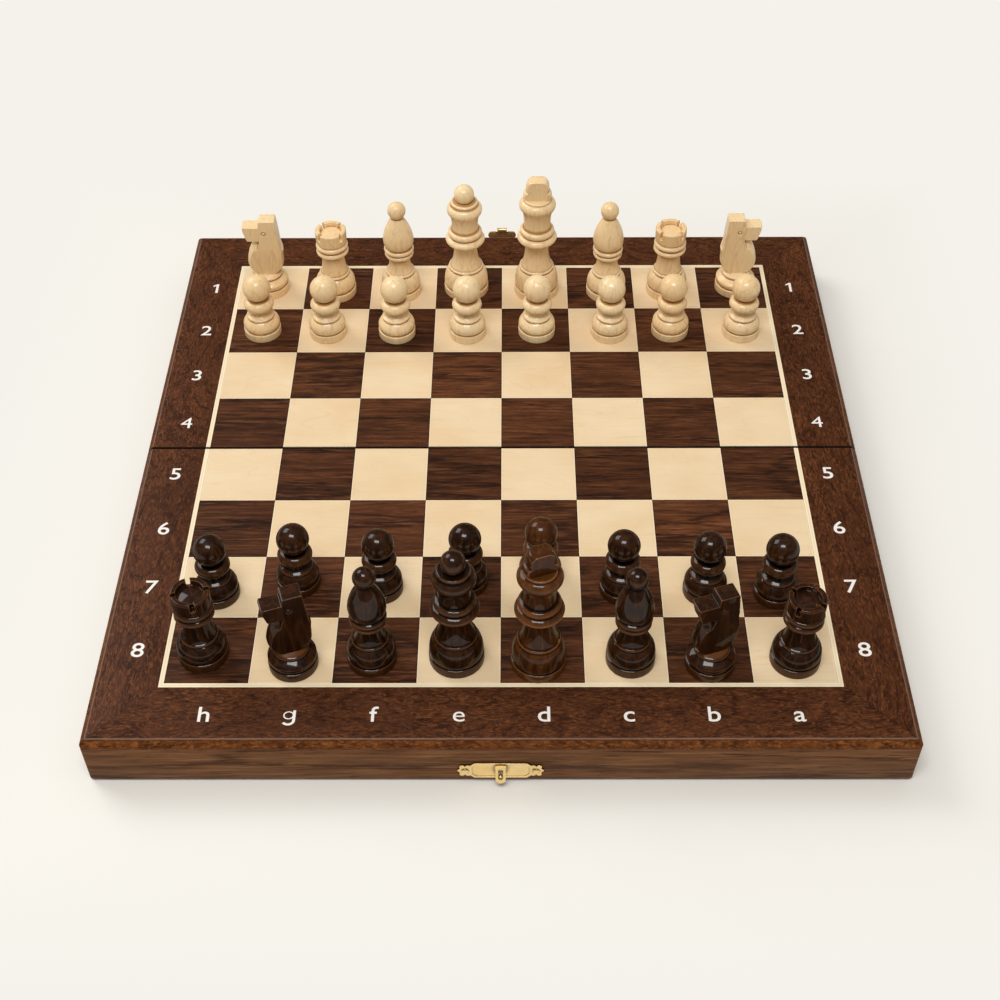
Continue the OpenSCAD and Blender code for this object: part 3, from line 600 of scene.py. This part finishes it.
def stem(lipR, lipZ, topR, topZ):
    return bend((lipR - 0.8, lipZ + 0.9), (topR + 0.2, lipZ + (topZ - lipZ) * 0.35),
                (topR, topZ), 14)


def twoRings(r, z):
    return (bend((6.2, z), (r - 1.2, z + 0.3), (r, z + 2.6), 8)
            + bend((r, z + 3.2), (r - 0.3, z + 4.6), (r - 2.2, z + 5.2), 8)
            + [(r - 2.8, z + 5.5)] + arc(r - 3.2, z + 7.2, 1.8, -60, 75, 12))


def pawnMesh():
    r, h, lipZ, ballR = (men["pawn"][key] for key in ("d", "h", "lipZ", "ballR"))
    r /= 2
    ballZ = h - ballR
    collarZ = ballZ - 9.6
    lipR = r - 2.4
    return smoothed(turnedMesh(
        foot(r, lipR, lipZ)
        + bend((lipR - 0.8, lipZ + 0.9), (4.6, lipZ + 1.8), (4.5, collarZ - 3.6), 8)
        + arc(4.9, collarZ, 2.9, -75, 75, 16) + arc(0, ballZ, ballR, -62, 90, 30)))


def bishopMesh():
    r, h, lipZ, ballR = (men["bishop"][key] for key in ("d", "h", "lipZ", "ballR"))
    r /= 2
    return smoothed(turnedMesh(
        foot(r, r - 2.8, lipZ) + stem(r - 2.8, lipZ, 5.4, h - 34.2)
        + bend((5.7, h - 33.9), (7.1, h - 33.7), (7.75, h - 32), 8)
        + bend((7.75, h - 32), (7.85, h - 31), (7, h - 30.6), 5) + [(6.6, h - 30.3)]
        + arc(6.7, h - 28.8, 1.3, -60, 65, 10)
        + bend((6.3, h - 27), (8.1, h - 26.6), (8.2, h - 22.6), 12)
        + bend((8.2, h - 22.4), (7.7, h - 16.2), (3.4, h - 9.2), 16)
        + arc(0, h - ballR, ballR, -52, 90, 24)))


def queenMesh():
    r, h, lipZ, ballR = (men["queen"][key] for key in ("d", "h", "lipZ", "ballR"))
    r /= 2
    return smoothed(turnedMesh(
        foot(r, r - 2.7, lipZ) + stem(r - 2.7, lipZ, 6, h - 36.4) + twoRings(10.5, h - 36)
        + bend((7.1, h - 26.9), (6.7, h - 20), (8.1, h - 17.4), 12)
        + arc(6.3, h - 14.4, 3.1, -45, 62, 14) + [(7.3, h - 11.3)]
        + arc(6.4, h - 10, 0.8, -50, 80, 8) + arc(0, h - ballR, ballR, -48, 90, 24)))


def kingMesh():
    r, h, lipZ, thick = (men["king"][key] for key in ("d", "h", "lipZ", "thick"))
    r /= 2
    knobZ = h - 11.4
    body = smoothed(turnedMesh(
        foot(r, r - 2.6, lipZ) + stem(r - 2.6, lipZ, 6, h - 39.2) + twoRings(10.6, h - 38.8)
        + bend((7.2, h - 29.7), (6.8, h - 21.4), (8.4, h - 18.4), 12)
        + arc(6.6, h - 15.5, 3.1, -45, 66, 14) + [(7.4, h - 12.5)]
        + arc(6.5, knobZ - 0.7, 0.7, -25, 90, 6) + [(0, knobZ)]))
    knob = turnedMesh(
        [(0, knobZ - 1), (6.2, knobZ - 1), (6.3, knobZ)]
        + bend((6.6, knobZ + 0.2), (8.2, h - 9.4), (6.9, h - 7.2), 10) + [(5.8, h - 6.9)]
        + bend((6, h - 6.2), (6.5, h - 1.3), (4.3, h - 0.4), 10) + [(0, h)])
    slab = boxMesh((-20, -thick / 2, knobZ - 1), (20, thick / 2, h + 1))
    return joined(body, carved(knob, [("INTERSECT", slab)], 4))


def rookMesh():
    r, h, lipZ, rimR, drillR = (men["rook"][key] for key in ("d", "h", "lipZ", "rimR", "drillR"))
    r /= 2
    notchZ = h - 3.2
    body = smoothed(turnedMesh(
        foot(r, r - 2.8, lipZ) + stem(r - 2.8, lipZ, 5.9, h - 15.6)
        + bend((6.2, h - 15.4), (7.8, h - 15.1), (8.65, h - 13.6), 8)
        + bend((8.65, h - 13.6), (8.75, h - 12.4), (7.7, h - 11.9), 6) + [(7.3, h - 11.6)]
        + arc(7.2, h - 9.8, 1.35, -60, 60, 10) + [(7.3, h - 8.2), (0, h - 8.2)]))
    head = turnedMesh([(0, h - 8.6), (7.3, h - 8.6), (7.3, h - 8.2), (7.9, h - 7.6), (8.15, h - 7),
                       (rimR, h - 0.6), (rimR - 0.5, h), (5.9, h), (5.6, h - 2.2)]
                      + bend((5.2, h - 2.2), (2.5, h - 1.5), (0, h - 1.5), 6))
    cuts = []
    for corner in range(4):
        turn = Matrix.Rotation(math.radians(45 + 90 * corner), 4, "Z")
        slot = boxMesh((5.1, -0.95, notchZ), (12, 0.95, h + 1))
        hole = rodMesh(drillR, 7, (8.6, 0, notchZ), (1, 0, 0))
        for tool in (slot, hole):
            tool.transform(turn)
            cuts.append(("DIFFERENCE", tool))
    return joined(body, carved(head, cuts, 3))


def knightMesh():
    knight = men["knight"]
    r, h, lipZ, throatX = (knight[key] for key in ("d", "h", "lipZ", "throatX"))
    r /= 2
    half = knight["thick"] / 2
    cupR = r - 1
    nose, chin = h - 3.9, h - 12.6
    base = smoothed(turnedMesh(foot(r, r - 3, lipZ) + [(6.6, lipZ + 1.2), (0, lipZ + 1.2)]))
    cup = turnedMesh(arc(0, 20.4, cupR, -90, 0, 24)
                     + [(cupR, 23), (cupR + 0.9, h - 14.5), (cupR + 0.9, h + 2), (0, h + 2)])
    side = ([(-12, 10), (-12, chin - 1)]
            + arc(-7.2, chin + 1.4, 1.4, 250, 190, 6) + arc(-9.8, nose - 0.6, 0.6, 170, 90, 4)
            + [(-1.2, nose)] + arc(-0.6, h - 0.6, 0.6, 180, 90, 4)
            + arc(7.0, h - 0.6, 0.6, 90, 0, 4)
            + bend((8.4, h - 10), (8.4, h - 15), (9.4, h - 19), 8) + [(12, h - 22), (12, 10)])
    # the throat is a second turning, round an axis in front of the neck
    throat = turnedMesh(
        [(0, 15), (6.2, 15)] + bend((6.1, 17.4), (5.6, h - 22), (3.2, h - 17.1), 14)
        + bend((2.7, h - 16.1), (1.8, h - 14.5), (2, h - 11.4), 6) + [(0, h - 11.4)])
    throat.transform(Matrix.Translation((throatX * mm, 0, 0)))
    front = slabMesh([(-21, 16), (throatX + 0.3, 16), (throatX + 0.3, h - 18.5),
                      (throatX + 2, h - 13), (throatX + 2, chin + 0.15), (-21, chin + 0.15)], 11)
    cuts = [("INTERSECT", slabMesh(side, half)),
            ("DIFFERENCE", carvedPlain(front, [("DIFFERENCE", throat)])),
            ("DIFFERENCE", boxMesh((-20, -20, 0), (20, 20, 11.8)))]
    for y in (-half, half):
        ring = ringMesh(knight["eyeIn"], knight["eyeOut"], knight["eyeDeep"])
        ring.transform(Matrix.Translation(Vector((knight["eyeX"], y, h - knight["eyeDown"])) * mm)
                       @ Matrix.Rotation(math.radians(90), 4, "X"))
        cuts.append(("DIFFERENCE", ring))
    return joined(base, carved(cup, cuts, 3))


manMesh = {"pawn": pawnMesh(), "rook": rookMesh(), "knight": knightMesh(),
           "bishop": bishopMesh(), "queen": queenMesh(), "king": kingMesh()}
print("men turned:", {kind: len(mesh.polygons) for kind, mesh in manMesh.items()})

# degrees that a man is turned by on his square, and the two men of browner wood
manTurn = {"light_knight_a": 180, "dark_rook_h": -30, "dark_knight_g": 18, "dark_king": 20,
           "dark_knight_b": 19, "dark_rook_a": 9}
brownMen = ("dark_king", "dark_pawn_d")
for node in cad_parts:
    colour = node.split("_")[0]
    kind = next((k for k in manMesh if "_" + k in node), None)
    if colour not in ("light", "dark") or kind is None:
        continue
    low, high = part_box(node)
    mesh = manMesh[kind].copy()
    centre = Vector(((low.x + high.x) / 2, (low.y + high.y) / 2, board["topZ"] * mm))
    mesh.transform(Matrix.Translation(centre)
                   @ Matrix.Rotation(math.radians(manTurn.get(node, 0)), 4, "Z"))
    material = "brownMan" if node in brownMen else colour + "Man"
    addPiece("turned_" + node, mesh, node, colour + "_men", material, node)
print("men placed")


easing = {"panel": 0.12, "wall": 0.25, "border": 0.3, "plate": 0.16,
          "merge": 0.002, "flatAngle": 1, "edgeAngle": 20}


def softCopy(node, width, segments=2, pick=None):
    # a merged copy of a CAD node with its outer edges eased
    bm = bmesh.new()
    bm.from_mesh(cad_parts[node].data)
    bmesh.ops.remove_doubles(bm, verts=bm.verts, dist=easing["merge"] * mm)
    bmesh.ops.dissolve_limit(bm, angle_limit=math.radians(easing["flatAngle"]), verts=bm.verts,
                             edges=bm.edges)
    edges = [e for e in bm.edges if len(e.link_faces) == 2
             and e.calc_face_angle(0) > math.radians(easing["edgeAngle"])
             and (pick is None or pick(e))]
    bmesh.ops.bevel(bm, geom=edges, offset=width * mm, segments=segments, profile=0.5,
                    affect="EDGES", clamp_overlap=True)
    return smoothed(meshFrom(bm, node), 30)


def outerTop(edge):
    # the border's top edges at the chamfer, and none at the stringing
    middle = (edge.verts[0].co + edge.verts[1].co) / 2
    outside = max(abs(middle.x), abs(middle.y)) > (board["halfWidth"] - 3) * mm
    return outside and middle.z > (board["topZ"] - 0.05) * mm


def finishNode(name, material):
    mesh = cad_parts[name].data
    mesh.materials.clear()
    mesh.materials.append(finish[material])


for half in ("near", "far"):
    body = half + "_half"
    back = "back" if half == "far" else "front"
    addPiece(half + "Panel", softCopy(half + "_panel", easing["panel"]), body, "panel_wood",
             "panel", half + "_panel")
    addPiece(half + "LatchWall", softCopy(half + "_" + back + "_wall", easing["wall"]), body,
             "wall_wood", "wallX", half + "_" + back + "_wall")
    addPiece(half + "SideWalls", softCopy(half + "_side_walls", easing["wall"]), body,
             "wall_wood", "wallY", half + "_side_walls")
    addPiece(half + "Border", softCopy(half + "_border", easing["border"], 3, outerTop), body,
             "border_veneer", "border", half + "_border")
    for part, material in (("hinge_wall", "wallX"), ("lining", "felt"), ("line", "stringing"),
                           ("hinge_leaves", "brass"), ("screws", "brass")):
        finishNode(half + "_" + part, material)
for name, body in (("catch_plate", "near_half"), ("hasp_plate", "far_half")):
    addPiece("eased_" + name, softCopy(name, easing["plate"]), body, "brass", "brass", name)
for name in ("hinge_pins", "catch_loop", "hasp_pin", "hasp"):
    finishNode(name, "brass")
print("trays dressed")


def tileTree():
    tree = bpy.data.node_groups.new("veneerSquares", "GeometryNodeTree")
    face = tree.interface
    face.new_socket("Geometry", in_out="OUTPUT", socket_type="NodeSocketGeometry")
    for name in ("Side", "Glue Line", "Thickness", "Bottom", "Middle", "Odd"):
        face.new_socket(name, in_out="INPUT", socket_type="NodeSocketFloat")
    face.new_socket("Veneer", in_out="INPUT", socket_type="NodeSocketMaterial")
    given = tree.nodes.new("NodeGroupInput").outputs
    side = given["Side"]
    grid = addNode(tree, "GeometryNodeMeshGrid",
                   {0: calc(tree, "MULTIPLY", side, 7.0), 1: calc(tree, "MULTIPLY", side, 3.0),
                    2: 8, 3: 4})
    middle = addNode(tree, "ShaderNodeCombineXYZ",
                     {1: given["Middle"], 2: calc(tree, "MULTIPLY_ADD", given["Thickness"], 0.5,
                                                  given["Bottom"])})
    placed = addNode(tree, "GeometryNodeTransform",
                     {0: grid.outputs[0], "Translation": middle.outputs[0]})
    parts = split(tree, addNode(tree, "GeometryNodeInputPosition").outputs[0])
    column, row = [calc(tree, "FLOOR", calc(tree, "DIVIDE", parts[i], side)) for i in (0, 1)]
    count = calc(tree, "ADD", column, row)
    parity = calc(tree, "FLOORED_MODULO", calc(tree, "ADD", count, given["Odd"]), 2.0)
    other = calc(tree, "GREATER_THAN", parity, 0.5)
    kept = addNode(tree, "GeometryNodeDeleteGeometry", {0: placed.outputs[0], "Selection": other},
                   domain="POINT")
    width = calc(tree, "SUBTRACT", side, given["Glue Line"])
    size = addNode(tree, "ShaderNodeCombineXYZ", {0: width, 1: width, 2: given["Thickness"]})
    tile = addNode(tree, "GeometryNodeMeshCube", {0: size.outputs[0], 1: 3, 2: 3, 3: 2})
    up = split(tree, addNode(tree, "GeometryNodeInputNormal").outputs[0])[2]
    eased = addNode(tree, "GeometryNodeScaleElements",
                    {0: tile.outputs[0], "Selection": calc(tree, "GREATER_THAN", up, 0.5),
                     "Scale": 0.9985})
    tiles = addNode(tree, "GeometryNodeInstanceOnPoints",
                    {"Points": kept.outputs[0], "Instance": eased.outputs[0]})
    real = addNode(tree, "GeometryNodeRealizeInstances", {0: tiles.outputs[0]})
    dressed = addNode(tree, "GeometryNodeSetMaterial", {0: real.outputs[0],
                                                        "Material": given["Veneer"]})
    result = tree.nodes.new("NodeGroupOutput")
    tree.links.new(dressed.outputs[0], result.inputs[0])
    return tree


def runTree(tree, values, name):
    item = tempObject(bpy.data.meshes.new(name))
    modifier = item.modifiers.new("tree", "NODES")
    modifier.node_group = tree
    for socket in tree.interface.items_tree:
        if socket.in_out == "INPUT" and socket.name in values:
            modifier[socket.identifier] = values[socket.name]
    mesh = applied(item)
    mesh.name = name
    return mesh


squares = tileTree()
for half, sign in (("near", -1), ("far", 1)):
    for tone, odd in (("light", 1.0), ("dark", 0.0)):
        mesh = runTree(squares, {
            "Side": board["side"] * mm, "Glue Line": board["glue"] * mm,
            "Thickness": board["veneer"] * mm, "Bottom": (board["topZ"] - board["veneer"]) * mm,
            "Middle": sign * 2 * board["side"] * mm, "Odd": odd,
            "Veneer": finish[tone + "Veneer"]}, half + tone)
        for vertex in mesh.vertices:  # planed back and chamfered at the seam
            top = vertex.co.z > (board["topZ"] - 0.1) * mm
            seam = (board["seam"] + (board["seamChamfer"] if top else 0)) * mm
            if vertex.co.y * sign < seam:
                vertex.co.y = sign * seam
        addPiece(half + tone.capitalize() + "Squares", mesh, half + "_half", tone + "_veneer",
                 tone + "Veneer", "%s_%s_squares" % (half, tone))
print("squares inlaid")


printing = {
    "height": 7.6, "bold": 0.008, "wide": 1.14, "thick": 0.04, "digitX": 158.2, "letterY": -160.1,
    "letters": "hgfedcba", "pitch": 35.7, "shift": 0.4, "capHeight": 0.7,
}


def fontGlyph(character, half):
    curve = bpy.data.curves.new("glyph", "FONT")
    curve.body = character
    curve.offset = 0 if character in "4e" else printing["bold"]
    curve.resolution_u = 4
    curve.extrude = half
    item = bpy.data.objects.new("glyph", curve)
    bpy.context.scene.collection.objects.link(item)
    mesh = applied(item)
    bpy.data.curves.remove(curve)
    return mesh


def ownGlyph(character, half):
    # the font's 1 is a bare bar and its g has two storeys, so these two are drawn here
    if character == "1":
        mesh = slabMesh([(0.02, 0), (0.13, 0), (0.13, 0.7), (0.04, 0.7), (-0.11, 0.59),
                         (-0.11, 0.49), (0.02, 0.57)], half)
    else:
        inner, outer = 0.14, 0.235
        bowl = ringMesh(inner, outer, half)
        bowl.transform(Matrix.Translation((0, 0, 0.29 * mm)) @ Matrix.Rotation(math.pi / 2, 4, "X"))
        hook = slabMesh([(inner, 0.52), (outer, 0.52)] + arc(0, 0.05, outer, 0, -148)
                        + arc(0, 0.05, inner, -148, 0), half)
        mesh = carvedPlain(bowl, [("UNION", hook)])
    mesh.transform(Matrix.Rotation(-math.pi / 2, 4, "X") @ Matrix.Scale(1 / mm, 4))
    return mesh


def glyphMesh(character, x, y):
    scale = printing["height"] / printing["capHeight"]
    makeGlyph = ownGlyph if character in "1g" else fontGlyph
    mesh = makeGlyph(character, printing["thick"] / scale)
    low = min(v.co.x for v in mesh.vertices)
    high = max(v.co.x for v in mesh.vertices)
    mesh.transform(Matrix.Translation((-(low + high) / 2, -printing["capHeight"] / 2, 0)))
    mesh.transform(Matrix.Translation(Vector((x, y, board["topZ"])) * mm)
                   @ Matrix.Diagonal((scale * printing["wide"] * mm, scale * mm, scale * mm, 1)))
    return mesh


for half in ("near", "far"):
    glyphs = []
    for rank in range(8):
        y = (3.5 - rank) * board["side"]
        if (y < 0) == (half == "near"):
            glyphs += [glyphMesh(str(rank + 1), side * printing["digitX"], y) for side in (-1, 1)]
    if half == "near":
        glyphs += [glyphMesh(letter, (i - 3.5) * printing["pitch"] + printing["shift"],
                             printing["letterY"]) for i, letter in enumerate(printing["letters"])]
    addPiece(half + "Coordinates", joined(*glyphs), half + "_half", "light_veneer", "print")
print("coordinates printed")


stage = {
    "floorColour": (0.913, 0.888, 0.831), "floorTone": 0.94, "floorSize": 9.0,
    "fadeFrom": 0.18, "fadeTo": 0.27, "fadeMost": 1.0,
    "worldLow": 0.34, "worldHigh": 0.75, "worldFrom": 0.6, "mirroredSky": 0.4,
    "mirroredFloor": 0.9,
    "key": {"place": (-0.1, -0.6, 1.5), "aim": (0, 0, 0), "size": (0.8, 0.45), "power": 12.8},
    "side": {"place": (-1.35, 0.95, 1.55), "aim": (0, 0, 0), "size": (1.1, 1.1), "power": 18.0},
}


def floorTree():
    # the floor drops to the lowest of the shown pieces when the box is folded
    tree = bpy.data.node_groups.new("tableHeight", "GeometryNodeTree")
    tree.interface.new_socket("Geometry", in_out="OUTPUT", socket_type="NodeSocketGeometry")
    tree.interface.new_socket("Geometry", in_out="INPUT", socket_type="NodeSocketGeometry")
    tree.interface.new_socket("Pieces", in_out="INPUT", socket_type="NodeSocketCollection")
    given = tree.nodes.new("NodeGroupInput").outputs
    info = addNode(tree, "GeometryNodeCollectionInfo", {0: given["Pieces"]},
                   transform_space="RELATIVE")
    real = addNode(tree, "GeometryNodeRealizeInstances", {0: info.outputs[0]})
    limits = addNode(tree, "GeometryNodeBoundBox", {0: real.outputs[0]})
    drop = calc(tree, "MINIMUM", split(tree, limits.outputs["Min"])[2], 0.0)
    shift = addNode(tree, "ShaderNodeCombineXYZ", {2: drop})
    moved = addNode(tree, "GeometryNodeTransform", {0: given["Geometry"],
                                                    "Translation": shift.outputs[0]})
    result = tree.nodes.new("NodeGroupOutput")
    tree.links.new(moved.outputs[0], result.inputs[0])
    return tree


def addFloor():
    bm = bmesh.new()
    bmesh.ops.create_grid(bm, x_segments=1, y_segments=1, size=stage["floorSize"] / 2)
    mesh = meshFrom(bm, "table")
    floor = bpy.data.objects.new("table", mesh)
    bpy.context.scene.collection.objects.link(floor)
    tree = floorTree()
    modifier = floor.modifiers.new("tableHeight", "NODES")
    modifier.node_group = tree
    for socket in tree.interface.items_tree:
        if socket.name == "Pieces":
            modifier[socket.identifier] = shownPieces
    material = bpy.data.materials.new("paleTable")
    material.use_nodes = True
    tree = material.node_tree
    shader = tree.nodes["Principled BSDF"]
    tone = [c * stage["floorTone"] for c in stage["floorColour"]]
    shader.inputs["Base Color"].default_value = (*tone, 1)
    shader.inputs["Roughness"].default_value = 0.9
    shader.inputs["Specular IOR Level"].default_value = 0.0
    seen = addNode(tree, "ShaderNodeEmission", {0: (*stage["floorColour"], 1)})
    path = addNode(tree, "ShaderNodeLightPath").outputs
    dim = addNode(tree, "ShaderNodeEmission",
                  {0: (*stage["floorColour"], 1), 1: stage["mirroredFloor"]})
    place = addNode(tree, "ShaderNodeTexCoord").outputs["Object"]
    fade = spread(tree, fromMiddle(tree, place), stage["fadeFrom"], stage["fadeTo"], 0.0,
                  stage["fadeMost"])
    mixed = addNode(tree, "ShaderNodeMixShader",
                    {0: calc(tree, "MULTIPLY", path["Is Camera Ray"], fade),
                     1: shader.outputs[0], 2: seen.outputs[0]})
    mirrored = addNode(tree, "ShaderNodeMixShader",
                       {0: path["Is Glossy Ray"], 1: mixed.outputs[0], 2: dim.outputs[0]})
    tree.links.new(mirrored.outputs[0], tree.nodes["Material Output"].inputs[0])
    mesh.materials.append(material)


def addLamp(name, look):
    lamp = bpy.data.lights.new(name, "AREA")
    lamp.shape = "RECTANGLE"
    lamp.size, lamp.size_y = look["size"]
    lamp.energy = look["power"]
    item = bpy.data.objects.new(name, lamp)
    item.location = look["place"]
    aim = Vector(look["aim"]) - Vector(look["place"])
    item.rotation_euler = aim.to_track_quat("-Z", "Y").to_euler()
    bpy.context.scene.collection.objects.link(item)


def addWorld():
    world = bpy.data.worlds.new("studio")
    bpy.context.scene.world = world
    world.use_nodes = True
    tree = world.node_tree
    background = tree.nodes["Background"]
    direction = addNode(tree, "ShaderNodeTexCoord").outputs["Generated"]
    height = split(tree, direction)[2]
    glow = spread(tree, height, stage["worldFrom"], 1.0, stage["worldLow"], stage["worldHigh"])
    path = addNode(tree, "ShaderNodeLightPath").outputs
    dimmed = spread(tree, path["Is Glossy Ray"], 0, 1, 1, stage["mirroredSky"])
    glow = calc(tree, "MULTIPLY", glow, dimmed)
    tree.links.new(calc(tree, "MAXIMUM", glow, path["Is Camera Ray"]), background.inputs[1])
    background.inputs[0].default_value = (*stage["floorColour"], 1)


cameraView = {"place": (0.0036, -0.5262, 0.5404), "down": 46.30, "turn": 0.487, "roll": -0.441,
              "lens": 53.54, "sensor": 36, "nearest": 0.01}


def addCamera(view):
    camera = bpy.data.cameras.new("camera")
    camera.lens = view["lens"]
    camera.sensor_width = view["sensor"]
    camera.clip_start = view["nearest"]
    item = bpy.data.objects.new("camera", camera)
    item.matrix_world = (Matrix.Translation(view["place"])
                         @ Matrix.Rotation(math.radians(view["turn"]), 4, "Z")
                         @ Matrix.Rotation(math.radians(90 - view["down"]), 4, "X")
                         @ Matrix.Rotation(math.radians(view["roll"]), 4, "Z"))
    bpy.context.scene.collection.objects.link(item)
    bpy.context.scene.camera = item


addFloor()
addWorld()
addLamp("keyLamp", stage["key"])
addLamp("sideLamp", stage["side"])
addCamera(cameraView)
bpy.context.scene.view_settings.view_transform = "Standard"
print("stage set")
